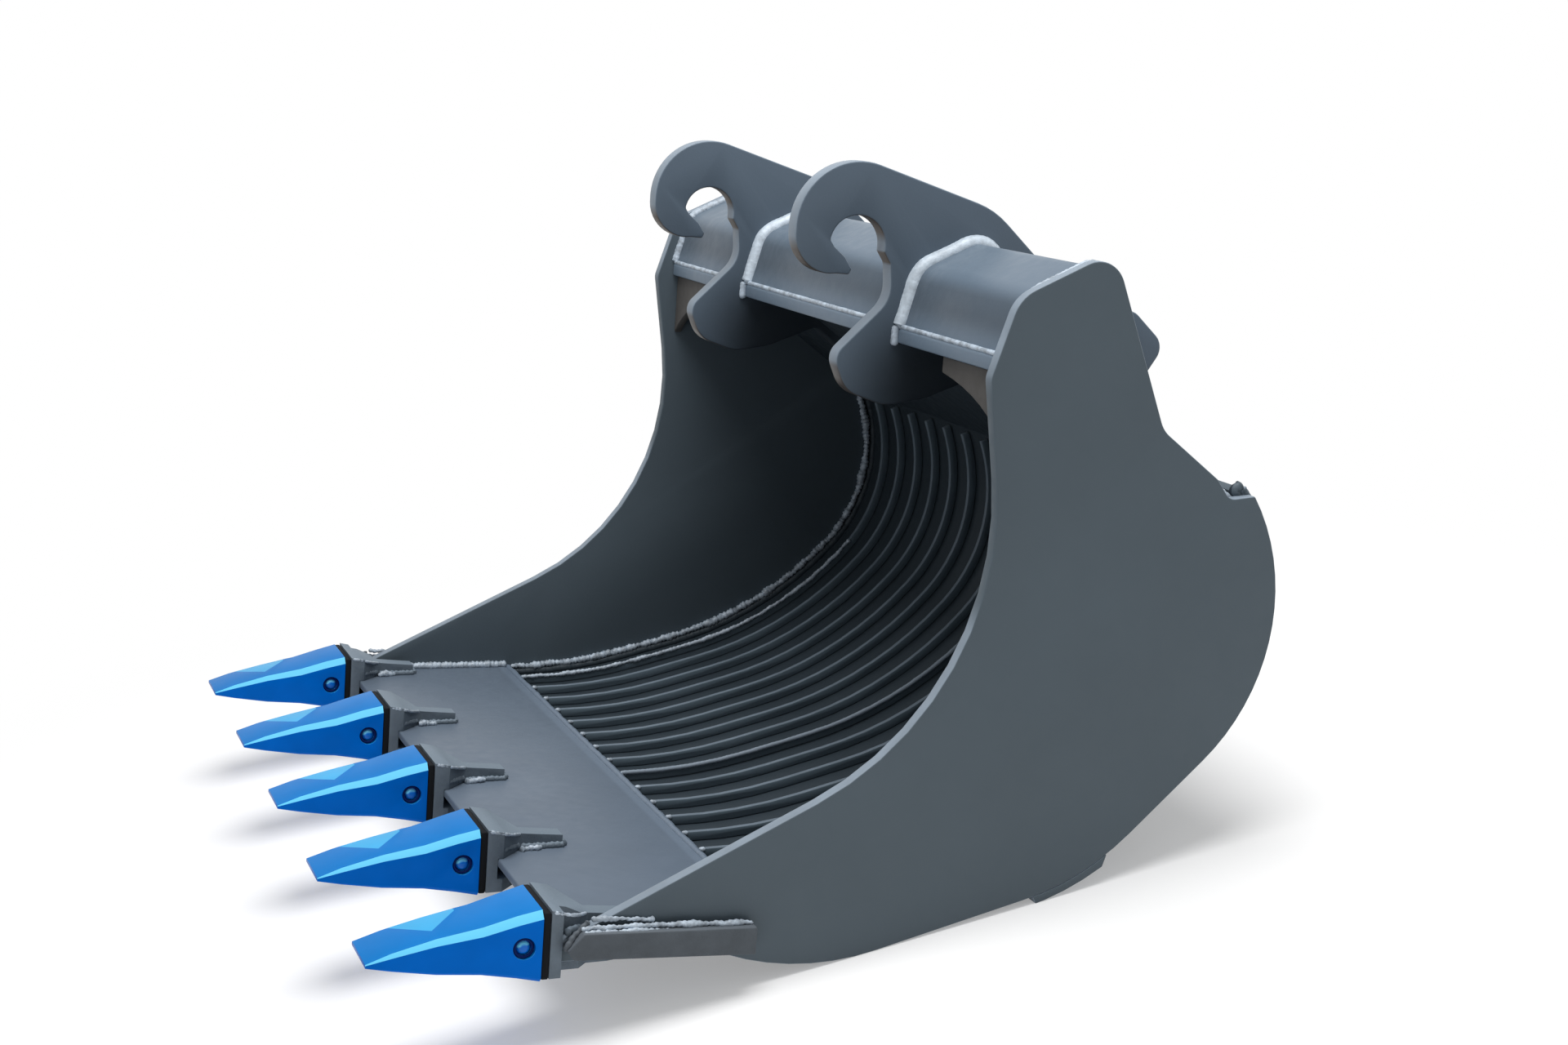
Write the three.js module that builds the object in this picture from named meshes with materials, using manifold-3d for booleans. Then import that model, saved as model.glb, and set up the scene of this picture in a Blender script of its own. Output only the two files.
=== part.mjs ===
// Excavator digging bucket with weld-on hook hangers and five pinned teeth.
// Millimetres. Every profile is drawn in the bucket's own side plane: x runs forward towards the teeth and
// z up from the centre of the hanger hooks, with the cutting lip level. Y runs across the width, and +Y is
// the left side. The finished bucket is then tilted back on to its heel, as it stands by itself on the ground.
import * as THREE from "three";
import { mergeVertices } from "three/addons/utils/BufferGeometryUtils.js";
import Module from "manifold-3d";

const wasm = await Module();
wasm.setup();

// ---- driving dimensions ----
const GAP = 0.3; // left open between two pieces that are welded or seated together
const WIDTH = 1150; // over the side plates
const SIDE_PLATE = 16; // thickness of a side plate
const SHELL = 12; // thickness of the rolled shell
const BACK_PLATE = 10; // thickness of the straight plate above the shell
const COVER = 10; // thickness of the bent beam covers
const LIP_THICKNESS = 24;
const LIP_REAR = 160; // where the lip's rear edge lies
const LIP_FRONT = 406; // and its cutting edge
const LIP_BOTTOM = -745; // underside of the lip
const LIP_BEVEL = 9; // chamfer along the lip's top rear edge
const RIB_COUNT = 17;
const RIB_THICKNESS = 8;
const RIB_HEIGHT = 12;
const HANGER = 25; // thickness of a hanger plate
const HANGER_SPACING = 519; // between the middles of the two hangers
const HOOK_RADIUS = 35; // throat of a hook, for a 70 mm coupler pin less running room
const HOOK_OUTER = 80; // outer radius of a hook
const TOOTH_COUNT = 5;
const TOOTH_OVERHANG = 6; // of the end teeth past the side plates
const TOOTH_WIDTH = 94; // at the rear face
const TOOTH_TIP_WIDTH = 70;
const TOOTH_LENGTH = 183;
const COLLAR_DEPTH = 13; // of an adapter's collar ahead of the lip
const SEAL_GAP = 9; // between a collar and its tooth
const STRAP_WIDTH = 24; // narrow end of an adapter's legs
const STRAP_LENGTH = 86; // how far the upper leg lies on the lip
const LEG_THICKNESS = 14; // the upper leg's thickness at its end
const PIN_RADIUS = 8;
const PIN_SETBACK = 19; // of the pin ahead of the tooth's rear face
const PIN_RISE = 7; // of the pin above the middle of the lip
const PIN_CLEARANCE = 0.4; // between a pin and its hole
const PIN_RECESS_RADIUS = 12; // counterbore in the tooth round each end of the pin
const PIN_RECESS_DEPTH = 5;
const RETAINER_RADIUS = 14; // ring that grips the pin inside the tooth
const RETAINER_THICKNESS = 6;
const SIDE_BAR = 20; // how far a side wear bar stands out
const SIDE_BAR_LENGTH = 212;
const PAD_PROUD = 9; // how far a heel pad stands below the side plate's edge
const PAD_WIDTH = 105; // across the bucket
const GUSSET_LENGTH = 173;
const GUSSET_HEIGHT = 87;
const GUSSET_THICKNESS = 12;

// ---- derived places ----
const HALF = WIDTH / 2;
const INNER = HALF - SIDE_PLATE; // inner face of a side plate
const CROSS = INNER - GAP; // where a cross piece ends
const HANGER_MIDDLE = HANGER_SPACING / 2;
const LIP_TOP = LIP_BOTTOM + LIP_THICKNESS;
const LIP_MIDDLE = LIP_BOTTOM + LIP_THICKNESS / 2;
const COLLAR_FRONT = LIP_FRONT + COLLAR_DEPTH;
const TOOTH_REAR = COLLAR_FRONT + SEAL_GAP;
const TOOTH_PITCH = (WIDTH + 2 * TOOTH_OVERHANG - TOOTH_WIDTH) / (TOOTH_COUNT - 1);
const PIN_X = TOOTH_REAR + PIN_SETBACK;
const PIN_Z = LIP_MIDDLE + PIN_RISE;
const HANGER_INNER = HANGER_MIDDLE - HANGER / 2;
const HANGER_OUTER = HANGER_MIDDLE + HANGER / 2;

// ---- finishes ----
const paint = (name, colour, roughness) =>
  new THREE.MeshStandardMaterial({ name, color: colour, roughness, metalness: 0.1 });
const sidePaint = () => paint("side paint", 0x4d5860, 0.5);
const shellPaint = () => paint("shell paint", 0x3a444b, 0.55);
const beamPaint = () => paint("beam paint", 0x6c7b89, 0.45);
const lipPaint = () => paint("lip paint", 0x6d7883, 0.5);
const castPaint = () => paint("adapter paint", 0x5b6166, 0.6);
const toothPaint = () => paint("tooth paint", 0x1173cf, 0.3);
const pinSteel = () => new THREE.MeshStandardMaterial({ color: 0x2f7fd6, roughness: 0.35, metalness: 0.6 });
const retainerSteel = () => new THREE.MeshStandardMaterial({ color: 0x3c3f42, roughness: 0.6, metalness: 0.8 });

// ---- plane geometry ----
const vec = (x, y) => new THREE.Vector2(x, y);
const heading = (degrees) => vec(Math.cos((degrees * Math.PI) / 180), Math.sin((degrees * Math.PI) / 180));
const along = (point, direction, distance) => point.clone().addScaledVector(direction, distance);

// Where the line through p along a crosses the line through q along b.
function meet(p, a, q, b) {
  const t = ((q.x - p.x) * b.y - (q.y - p.y) * b.x) / (a.x * b.y - a.y * b.x);
  return along(p, a, t);
}

// Points on an arc, its two ends included, with a step of about `step` degrees.
function arc(centre, radius, from, to, step = 7.5) {
  const count = Math.max(2, Math.ceil(Math.abs(to - from) / step));
  const points = [];
  for (let i = 0; i <= count; i++) points.push(along(centre, heading(from + ((to - from) * i) / count), radius));
  return points;
}

// A path through corners [x, z, fillet radius]. A closed path's first corner is rounded too.
function filleted(corners, closed = true, step = 7.5) {
  const points = [];
  corners.forEach(([x, z, radius = 0], i) => {
    const corner = vec(x, z);
    const last = corners.length - 1;
    if (!radius || (!closed && (i === 0 || i === last))) {
      points.push(corner);
      return;
    }
    const before = corners[i === 0 ? last : i - 1];
    const after = corners[i === last ? 0 : i + 1];
    const back = vec(before[0] - x, before[1] - z).normalize();
    const on = vec(after[0] - x, after[1] - z).normalize();
    const half = Math.acos(THREE.MathUtils.clamp(back.dot(on), -1, 1)) / 2;
    const centre = along(corner, back.clone().add(on).normalize(), radius / Math.sin(half));
    const start = along(corner, back, radius / Math.tan(half)).sub(centre);
    const end = along(corner, on, radius / Math.tan(half)).sub(centre);
    const from = THREE.MathUtils.radToDeg(Math.atan2(start.y, start.x));
    let sweep = THREE.MathUtils.radToDeg(Math.atan2(end.y, end.x)) - from;
    sweep -= 360 * Math.round(sweep / 360);
    points.push(...arc(centre, radius, from, from + sweep, step));
  });
  return points;
}

// The same path moved to its left by a distance, with mitred corners.
function offset(points, distance) {
  return points.map((point, i) => {
    const before = points[Math.max(i - 1, 0)];
    const after = points[Math.min(i + 1, points.length - 1)];
    const a = i > 0 ? point.clone().sub(before).normalize() : after.clone().sub(point).normalize();
    const b = i < points.length - 1 ? after.clone().sub(point).normalize() : a;
    const normal = vec(-a.y - b.y, a.x + b.x).normalize();
    return along(point, normal, distance / Math.max(0.3, normal.dot(vec(-a.y, a.x))));
  });
}

// The stretch of a path, drawn with x falling or rising all along, that lies between two values of x.
function between(points, low, high) {
  const cut = (a, b, x) => a.clone().lerp(b, (x - a.x) / (b.x - a.x));
  const inside = [];
  points.forEach((point, i) => {
    const before = points[i - 1];
    for (const x of [low, high])
      if (before && (before.x - x) * (point.x - x) < 0) inside.push(cut(before, point, x));
    if (point.x >= low && point.x <= high) inside.push(point);
  });
  return inside.sort((a, b) => a.x - b.x);
}

// A plate whose two surfaces are a path and the same path moved to its left by the thickness.
const band = (points, thickness) => [...points, ...offset(points, thickness).reverse()];

// ---- solid geometry ----
// A profile in the side plane, extruded across the width from one y to another.
function slab(points, yFrom, yTo) {
  const geometry = new THREE.ExtrudeGeometry(new THREE.Shape(points), { depth: yTo - yFrom, bevelEnabled: false });
  return geometry.rotateX(Math.PI / 2).translate(0, yTo, 0);
}

// A profile [y, z] in the cross plane, extruded forward from one x to another.
function crossSlab(points, xFrom, xTo) {
  const geometry = new THREE.ExtrudeGeometry(new THREE.Shape(points), { depth: xTo - xFrom, bevelEnabled: false });
  const turn = new THREE.Matrix4().makeBasis(
    new THREE.Vector3(0, 1, 0),
    new THREE.Vector3(0, 0, 1),
    new THREE.Vector3(1, 0, 0),
  );
  return geometry.applyMatrix4(turn).translate(xFrom, 0, 0);
}

// A plan [x, y], extruded upwards from one z to another.
function planSlab(points, zFrom, zTo) {
  const geometry = new THREE.ExtrudeGeometry(new THREE.Shape(points), { depth: zTo - zFrom, bevelEnabled: false });
  return geometry.translate(0, 0, zFrom);
}

// A solid through sections, each a list of [x, y, z] points in the same order, seen from the front.
function loft(sections) {
  const positions = sections.flat(2);
  const ring = sections[0].length;
  const index = [];
  for (let s = 0; s < sections.length - 1; s++)
    for (let i = 0; i < ring; i++) {
      const a = s * ring + i;
      const b = s * ring + ((i + 1) % ring);
      index.push(a, b, b + ring, a, b + ring, a + ring);
    }
  const front = (sections.length - 1) * ring;
  for (let i = 1; i < ring - 1; i++) {
    index.push(0, i + 1, i);
    index.push(front, front + i, front + i + 1);
  }
  const geometry = new THREE.BufferGeometry();
  geometry.setAttribute("position", new THREE.Float32BufferAttribute(positions, 3));
  geometry.setIndex(index);
  return geometry;
}

// A box section at x with chamfered corners: wide cuts on top, narrow ones below.
function section(x, halfWidth, bottom, top, cut, lowCut = cut / 2) {
  return [
    [x, -halfWidth + lowCut, bottom],
    [x, halfWidth - lowCut, bottom],
    [x, halfWidth, bottom + lowCut],
    [x, halfWidth, top - cut],
    [x, halfWidth - cut, top],
    [x, -halfWidth + cut, top],
    [x, -halfWidth, top - cut],
    [x, -halfWidth, bottom + lowCut],
  ];
}

// A round bar along y.
function round(radius, length, x, y, z, sides = 24) {
  return new THREE.CylinderGeometry(radius, radius, length, sides).translate(x, y, z);
}

function solid(geometry) {
  const bare = geometry.clone();
  bare.deleteAttribute("normal");
  bare.deleteAttribute("uv");
  const merged = mergeVertices(bare, 1e-3);
  return new wasm.Manifold(
    new wasm.Mesh({
      numProp: 3,
      vertProperties: merged.attributes.position.array,
      triVerts: new Uint32Array(merged.index.array),
    }),
  );
}

function geometryOf(body) {
  const mesh = body.getMesh();
  const geometry = new THREE.BufferGeometry();
  geometry.setAttribute("position", new THREE.BufferAttribute(mesh.vertProperties, 3));
  geometry.setIndex(new THREE.BufferAttribute(mesh.triVerts, 1));
  const faceted = geometry.toNonIndexed();
  faceted.computeVertexNormals();
  return faceted;
}

const bucket = new THREE.Group();

function add(name, geometry, material, y = 0) {
  const mesh = new THREE.Mesh(geometry, material);
  mesh.name = name;
  mesh.position.y = y;
  bucket.add(mesh);
  return mesh;
}

// ---- side plates ----
// Straight stretches of a side plate's edge, each a point and a heading.
const frontEdge = { point: vec(LIP_FRONT, LIP_TOP - 2.5), way: heading(153.4) };
const upperFrontEdge = { point: vec(-54.4, -225), way: heading(80.5) };
const shoulderEdge = { point: vec(-44, -89), way: heading(106.6) };
const crestEdge = { point: vec(-90, -13), way: heading(153.4) };
const rearEdge = { point: vec(-190, -11), way: heading(246.9) };
const diagonal = { point: vec(-273, -179), way: heading(215.2) };
const backCentre = vec(-190, -380);
const BACK_RADIUS = 240;
const heelEdge = { point: vec(-356, -553.5), way: heading(-43.7) };
const baseEdge = { point: vec(-130, -712.5), way: heading(-14.8) };
const riseEdge = { point: vec(220, -750), way: heading(20) };
const NOTCH_END = 144.6; // where the round back begins, below the notch, seen from its centre

const corner = (a, b, radius) => [...meet(a.point, a.way, b.point, b.way).toArray(), radius];

function sideOutline() {
  const level = { point: vec(0, LIP_BOTTOM), way: vec(1, 0) };
  const backStart = along(backCentre, heading(NOTCH_END), BACK_RADIUS);
  const front = filleted(
    [
      [LIP_FRONT, LIP_BOTTOM],
      frontEdge.point.toArray(),
      corner(frontEdge, upperFrontEdge, 338),
      corner(upperFrontEdge, shoulderEdge, 20),
      corner(shoulderEdge, crestEdge, 45),
      corner(crestEdge, rearEdge, 34),
      corner(rearEdge, diagonal, 35),
      [-334, -222, 6],
      [-352, -245, 14],
      [backStart.x, backStart.y],
    ],
    false,
  );
  const back = arc(backCentre, BACK_RADIUS, NOTCH_END, 226.3, 5);
  const below = filleted(
    [
      back[back.length - 1].toArray(),
      corner(heelEdge, baseEdge, 300),
      corner(baseEdge, riseEdge, 300),
      corner(riseEdge, level, 15),
      [LIP_FRONT, LIP_BOTTOM],
    ],
    false,
    5,
  );
  return { front: front.slice(0, -1), back, below: below.slice(1, -1) };
}

const outline = sideOutline();
const sideShape = [...outline.front, ...outline.back, ...outline.below];
add("side_plate_left", slab(sideShape, INNER, HALF), sidePaint());
add("side_plate_right", slab(sideShape, -HALF, -INNER), sidePaint());

// ---- rolled shell, back plate and ribs ----
const SHELL_RADIUS = 238;
const SHELL_END = 142; // upper end of the shell, seen from the back's centre
const RIB_END = 156;

// Outer surface of the shell, from the lip round the heel and up the back to an angle.
function shellPath(end) {
  const bottom = { point: vec(LIP_REAR, LIP_BOTTOM), way: vec(-1, 0) };
  const base = { point: vec(-125.4, -695.1), way: baseEdge.way };
  const tangentPoint = along(backCentre, heading(222), SHELL_RADIUS);
  const tangent = { point: tangentPoint, way: heading(312) };
  const lower = filleted(
    [
      [LIP_REAR - GAP, LIP_BOTTOM],
      corner(bottom, base, 700),
      corner(base, tangent, 540),
      tangentPoint.toArray(),
    ],
    false,
    4,
  );
  return [...lower.slice(0, -1), ...arc(backCentre, SHELL_RADIUS, 222, end, 5)];
}

// The shell's path runs clockwise from the lip, so its inside is on the right.
const shellOuter = shellPath(SHELL_END);
add("rolled_shell", slab(band(shellOuter, -SHELL), -CROSS, CROSS), shellPaint());

const ribSeat = offset(shellPath(RIB_END), -SHELL - GAP);
const ribShape = band(ribSeat, -RIB_HEIGHT);
const ribPitch = (2 * INNER) / (RIB_COUNT + 1);
for (let i = 0; i < RIB_COUNT; i++) {
  const y = (i - (RIB_COUNT - 1) / 2) * ribPitch;
  add(`rib_${i + 1}`, slab(ribShape, -RIB_THICKNESS / 2, RIB_THICKNESS / 2), shellPaint(), y);
}

// Point on the back plate: so far down the diagonal from its upper end, and so deep below the outline.
const BACK_PLATE_INSET = 6;
const BACK_PLATE_TOP = along(diagonal.point, diagonal.way, -20.6);
function backPlatePoint(down, depth) {
  const inward = vec(-diagonal.way.y, diagonal.way.x);
  return along(along(BACK_PLATE_TOP, diagonal.way, down), inward, BACK_PLATE_INSET + depth);
}

// The back plate's lower end stops against the shell's inner surface.
function backPlateShape() {
  const inside = SHELL_RADIUS - SHELL - GAP;
  const foot = (depth) => {
    const start = backPlatePoint(0, depth).sub(backCentre);
    const reach = start.dot(diagonal.way);
    return -reach + Math.sqrt(reach * reach - start.lengthSq() + inside * inside);
  };
  return [
    backPlatePoint(0, 0),
    backPlatePoint(foot(0), 0),
    backPlatePoint(foot(BACK_PLATE), BACK_PLATE),
    backPlatePoint(0, BACK_PLATE),
  ];
}
add("back_plate", slab(backPlateShape(), -CROSS, CROSS), shellPaint());

// ---- cutting lip ----
const lipShape = [
  vec(LIP_REAR, LIP_BOTTOM),
  vec(LIP_FRONT - 22, LIP_BOTTOM),
  vec(LIP_FRONT, LIP_TOP - 9),
  vec(LIP_FRONT, LIP_TOP),
  vec(LIP_REAR + LIP_BEVEL, LIP_TOP),
  vec(LIP_REAR, LIP_TOP - LIP_BEVEL),
];
add("cutting_lip", slab(lipShape, -CROSS, CROSS), lipPaint());

// ---- beam across the top: a bent cover, a flange bar and a floor plate in each of three bays ----
const FLANGE_FRONT = -60;
const FLANGE_DEPTH = 68;
const FLANGE_TOP = -94;
const FLANGE_HEIGHT = 19;
const flangeRear = FLANGE_FRONT - FLANGE_DEPTH;
const coverFront = { point: vec(FLANGE_FRONT - 4, FLANGE_TOP + GAP), way: heading(104) };
const coverTop = { point: vec(-81.4, -24), way: crestEdge.way };
const coverRear = { point: vec(-252, -172), way: rearEdge.way };

function coverShape() {
  const rearEnd = meet(coverRear.point, coverRear.way, vec(0, -172), vec(1, 0));
  const outer = filleted(
    [
      coverFront.point.toArray(),
      corner(coverFront, coverTop, 35),
      corner(coverTop, coverRear, 30),
      rearEnd.toArray(),
    ],
    false,
  );
  const inner = offset(outer, COVER);
  inner[0] = meet(inner[0], coverFront.way, coverFront.point, vec(1, 0));
  return [...outer, ...inner.reverse()];
}

const flangeShape = [
  vec(FLANGE_FRONT, FLANGE_TOP - FLANGE_HEIGHT),
  vec(FLANGE_FRONT, FLANGE_TOP - 3),
  vec(FLANGE_FRONT - 3, FLANGE_TOP),
  vec(flangeRear, FLANGE_TOP),
  vec(flangeRear, FLANGE_TOP - FLANGE_HEIGHT),
];

// The floor runs from the flange bar's rear face down to the inner corner of the back plate's upper end.
function floorShape() {
  const front = vec(flangeRear - GAP, FLANGE_TOP - 4);
  const rear = backPlatePoint(-GAP, BACK_PLATE - GAP);
  const way = rear.clone().sub(front).normalize();
  const [lowerFront, lowerRear] = offset([front, rear], COVER);
  return [front, rear, lowerRear, meet(lowerFront, way, front, vec(0, 1))];
}

const bays = [
  ["left", HANGER_OUTER + GAP, CROSS],
  ["middle", -HANGER_INNER + GAP, HANGER_INNER - GAP],
  ["right", -CROSS, -HANGER_OUTER - GAP],
];
for (const [bay, yFrom, yTo] of bays) {
  add(`beam_cover_${bay}`, slab(coverShape(), yFrom, yTo), beamPaint());
  add(`beam_flange_${bay}`, slab(flangeShape, yFrom, yTo), beamPaint());
  add(`beam_floor_${bay}`, slab(floorShape(), yFrom, yTo), shellPaint());
}

// ---- hanger plates with their hooks ----
const HOOK_HEEL = 190; // where the throat's arc meets the hanger's front edge
const HOOK_INSIDE = 8; // and where it meets the hook's tip

function hangerShape() {
  const crown = arc(vec(0, 18), HOOK_OUTER, -4, 106, 6);
  const nose = arc(vec(33, 12), 47, -100, -4, 8);
  const throat = arc(vec(0, 0), HOOK_RADIUS, HOOK_HEEL, HOOK_INSIDE);
  const rear = filleted(
    [
      crown[crown.length - 1].toArray(),
      [-176, 51, 110],
      [-262, -24, 40],
      [-385, -66, 20],
      [-430, -105, 22],
      [-408, -140, 10],
      [-330, -150, 20],
      backPlatePoint(47, -GAP).toArray(),
    ],
    false,
  );
  const foot = filleted(
    [
      backPlatePoint(-1, BACK_PLATE + GAP).toArray(),
      backPlatePoint(30, BACK_PLATE + GAP).toArray(),
      [-236, -200, 8],
      [-172, -152, 12],
      [-104, -180, 70],
      [-52, -190, 50],
      [1, -173, 36],
      [20, -131, 22],
      [-48, -62, 40],
      [-44, -20],
    ],
    false,
  );
  const top = backPlatePoint(-1, -GAP);
  const tip = [vec(29, -3), vec(15, -14), vec(5, -28), vec(8, -35)];
  return [...foot, ...throat, ...tip, ...nose, ...crown.slice(1), ...rear.slice(1), top];
}

const hangerOutline = hangerShape();
add("hanger_left", slab(hangerOutline, HANGER_INNER, HANGER_OUTER), beamPaint());
add("hanger_right", slab(hangerOutline, -HANGER_OUTER, -HANGER_INNER), beamPaint());

// A plate between the hangers' rear lugs, which the coupler's lock bears on.
const lockShape = [vec(-384, -82), vec(-368, -76), vec(-382, -112), vec(-398, -106)];
add("lock_plate", slab(lockShape, -HANGER_INNER + GAP, HANGER_INNER - GAP), beamPaint());

// ---- corner gussets under the flange ----
function gussetShape(side) {
  const top = FLANGE_TOP - FLANGE_HEIGHT - GAP;
  const curve = new THREE.QuadraticBezierCurve(
    vec(side * (CROSS - GUSSET_LENGTH), top - 20),
    vec(side * (CROSS - 50), top - 34),
    vec(side * CROSS, top - GUSSET_HEIGHT),
  );
  return [vec(side * CROSS, top), vec(side * (CROSS - GUSSET_LENGTH), top), ...curve.getPoints(8)];
}
const gussetFront = FLANGE_FRONT - 8;
for (const [name, side] of [["gusset_left", 1], ["gusset_right", -1]])
  add(name, crossSlab(gussetShape(side), gussetFront - GUSSET_THICKNESS, gussetFront), sidePaint());

// ---- side wear bars ----
const barRear = LIP_FRONT - 1 - SIDE_BAR_LENGTH;
const barShape = [
  vec(barRear, LIP_BOTTOM + 1),
  vec(LIP_FRONT - 9, LIP_MIDDLE - 4),
  vec(LIP_FRONT - 1, LIP_MIDDLE + 6),
  vec(LIP_FRONT - 19, LIP_TOP + 13),
  vec(barRear, LIP_TOP + 8),
];
for (const [name, side] of [["side_wear_bar_left", 1], ["side_wear_bar_right", -1]]) {
  const near = side > 0 ? HALF + GAP : -HALF - GAP - SIDE_BAR;
  add(name, slab(barShape, near, near + SIDE_BAR), castPaint());
}

// ---- heel pads: a block under the shell inside each side plate, that wraps below the plate's edge ----
const PAD_REAR = -240;
const PAD_FRONT = -150;
function heelPad(side) {
  const edge = between(outline.below, PAD_REAR, PAD_FRONT);
  const shell = between(shellOuter.slice().reverse(), PAD_REAR, PAD_FRONT);
  const foot = between(offset(outline.below, -PAD_PROUD), PAD_REAR + 4, PAD_FRONT - 4);
  const under = [...offset(edge, -GAP), ...foot.slice().reverse()];
  const block = [...offset(shell, -GAP), ...foot.slice().reverse()];
  const span = (a, b) => (side > 0 ? [a, b] : [-b, -a]);
  const plate = solid(slab(under, ...span(HALF - PAD_WIDTH, HALF)));
  const core = solid(slab(block, ...span(HALF - PAD_WIDTH, INNER - GAP)));
  return geometryOf(plate.add(core));
}
add("heel_pad_left", heelPad(1), sidePaint());
add("heel_pad_right", heelPad(-1), sidePaint());

// ---- adapters, teeth, pins and retainers ----
const NOSE_LENGTH = 112;
const POCKET_CLEARANCE = 0.5;
const halfWidth = TOOTH_WIDTH / 2;

// The wedge that carries the tooth, or the tooth's pocket round it where a clearance is given.
function nose(clearance) {
  const rear = clearance ? TOOTH_REAR - 1 : COLLAR_FRONT - 1;
  const at = (x, half, low, high, cut) =>
    section(x, half + clearance, LIP_MIDDLE + low - clearance, LIP_MIDDLE + high + clearance, cut);
  return loft([
    at(rear, 34, -15, 35, 6),
    at(TOOTH_REAR + NOSE_LENGTH * 0.55, 27, -10, 18, 5),
    at(TOOTH_REAR + NOSE_LENGTH + clearance, 18, -8, 5, 3),
  ]);
}

// Side view of an adapter: collar, upper leg, the slot that takes the lip, and lower leg.
function adapterProfile() {
  const upperEnd = LIP_FRONT - STRAP_LENGTH;
  const lowerEnd = upperEnd - 20;
  return [
    vec(COLLAR_FRONT, LIP_BOTTOM - 16),
    vec(COLLAR_FRONT, LIP_TOP + 35),
    vec(LIP_FRONT - 8, LIP_TOP + 31),
    vec(LIP_FRONT - 37, LIP_TOP + 18),
    vec(upperEnd, LIP_TOP + LEG_THICKNESS),
    vec(upperEnd, LIP_TOP + GAP),
    vec(LIP_FRONT + GAP, LIP_TOP + GAP),
    vec(LIP_FRONT + GAP, LIP_BOTTOM - GAP),
    vec(lowerEnd, LIP_BOTTOM - GAP),
    vec(lowerEnd, LIP_BOTTOM - 8),
    vec(lowerEnd + 45, LIP_BOTTOM - 14),
  ];
}

// The legs narrow from the collar's width to a strap.
function adapterPlan() {
  const neck = LIP_FRONT - 6;
  const strapStart = LIP_FRONT - 37;
  const side = [
    [COLLAR_FRONT + 1, halfWidth - 1],
    [neck, halfWidth - 1],
    [strapStart, STRAP_WIDTH / 2],
    [0, STRAP_WIDTH / 2],
  ];
  return [...side.map(([x, y]) => vec(x, y)), ...side.reverse().map(([x, y]) => vec(x, -y))];
}

// Where an end adapter's jaw meets a side plate, the plate's thickness is cut out of it.
function adapter(y) {
  const body = solid(slab(adapterProfile(), -halfWidth, halfWidth));
  const plan = solid(planSlab(adapterPlan(), -800, -600));
  const hole = solid(round(PIN_RADIUS + PIN_CLEARANCE, TOOTH_WIDTH, PIN_X, 0, PIN_Z));
  let made = body.intersect(plan).add(solid(nose(0))).subtract(hole);
  if (Math.abs(y) + halfWidth > INNER) {
    const side = Math.sign(y);
    const from = side * (INNER - GAP) - y;
    const to = side * (HALF + 50) - y;
    const box = [vec(0, -800), vec(LIP_FRONT + GAP, -800), vec(LIP_FRONT + GAP, -600), vec(0, -600)];
    made = made.subtract(solid(slab(box, Math.min(from, to), Math.max(from, to))));
  }
  return geometryOf(made);
}

// A tooth: a wedge with bevelled upper edges, a pocket for the nose, and a recess round each pin end.
function tooth() {
  const cut = (share, half, low, high, bevel) =>
    section(TOOTH_REAR + TOOTH_LENGTH * share, half, LIP_MIDDLE + low, LIP_MIDDLE + high, bevel);
  const tipHalf = TOOTH_TIP_WIDTH / 2;
  const body = loft([
    cut(0, halfWidth, -31, 47, 8),
    cut(0.14, halfWidth - 2.5, -26.5, 40.5, 8),
    cut(0.34, halfWidth - 4.5, -21, 29.5, 7.5),
    cut(0.6, halfWidth - 7, -18, 20, 6),
    cut(0.85, tipHalf + 2, -12, 7, 4),
    cut(1, tipHalf, -7, -3, 1),
  ]);
  const recess = (side) =>
    solid(round(PIN_RECESS_RADIUS, 2 * PIN_RECESS_DEPTH, PIN_X, side * (halfWidth - 1), PIN_Z));
  const ring = solid(retainerSeat(POCKET_CLEARANCE));
  return geometryOf(
    solid(body)
      .subtract(solid(nose(POCKET_CLEARANCE)))
      .subtract(solid(round(PIN_RADIUS + PIN_CLEARANCE, TOOTH_WIDTH * 1.2, PIN_X, 0, PIN_Z)))
      .subtract(recess(1))
      .subtract(recess(-1))
      .subtract(ring),
  );
}

// The retainer lies in a round pocket that opens into the tooth's nose pocket, on the right side.
function retainerSeat(clearance) {
  const outer = -34 - POCKET_CLEARANCE - RETAINER_THICKNESS + 0.5;
  const inner = -30;
  const length = inner - outer + clearance;
  return round(RETAINER_RADIUS + clearance, length, PIN_X, (inner + outer - clearance) / 2, PIN_Z);
}

function retainer() {
  const hole = solid(round(PIN_RADIUS + PIN_CLEARANCE, 60, PIN_X, -30, PIN_Z));
  return geometryOf(solid(retainerSeat(0)).subtract(hole).subtract(solid(nose(POCKET_CLEARANCE))));
}

const pinLength = TOOTH_WIDTH - 2 * PIN_RECESS_DEPTH + 4;
for (let i = 0; i < TOOTH_COUNT; i++) {
  const y = ((TOOTH_COUNT - 1) / 2 - i) * TOOTH_PITCH;
  add(`adapter_${i + 1}`, adapter(y), castPaint(), y);
  add(`tooth_${i + 1}`, tooth(), toothPaint(), y);
  add(`tooth_pin_${i + 1}`, round(PIN_RADIUS, pinLength, PIN_X, 0, PIN_Z), pinSteel(), y);
  add(`pin_retainer_${i + 1}`, retainer(), retainerSteel(), y);
}

// ---- stand the bucket on its heel ----
// It rests on the heel pads' front corners and on the front end of the side plates' straight base.
const padFoot = between(offset(outline.below, -PAD_PROUD), PAD_FRONT - 4.01, PAD_FRONT - 3.99)[0];
const baseToe = meet(baseEdge.point, baseEdge.way, vec(42, 0), vec(0, 1));
bucket.rotation.y = Math.atan2(baseToe.y - padFoot.y, baseToe.x - padFoot.x);

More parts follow.
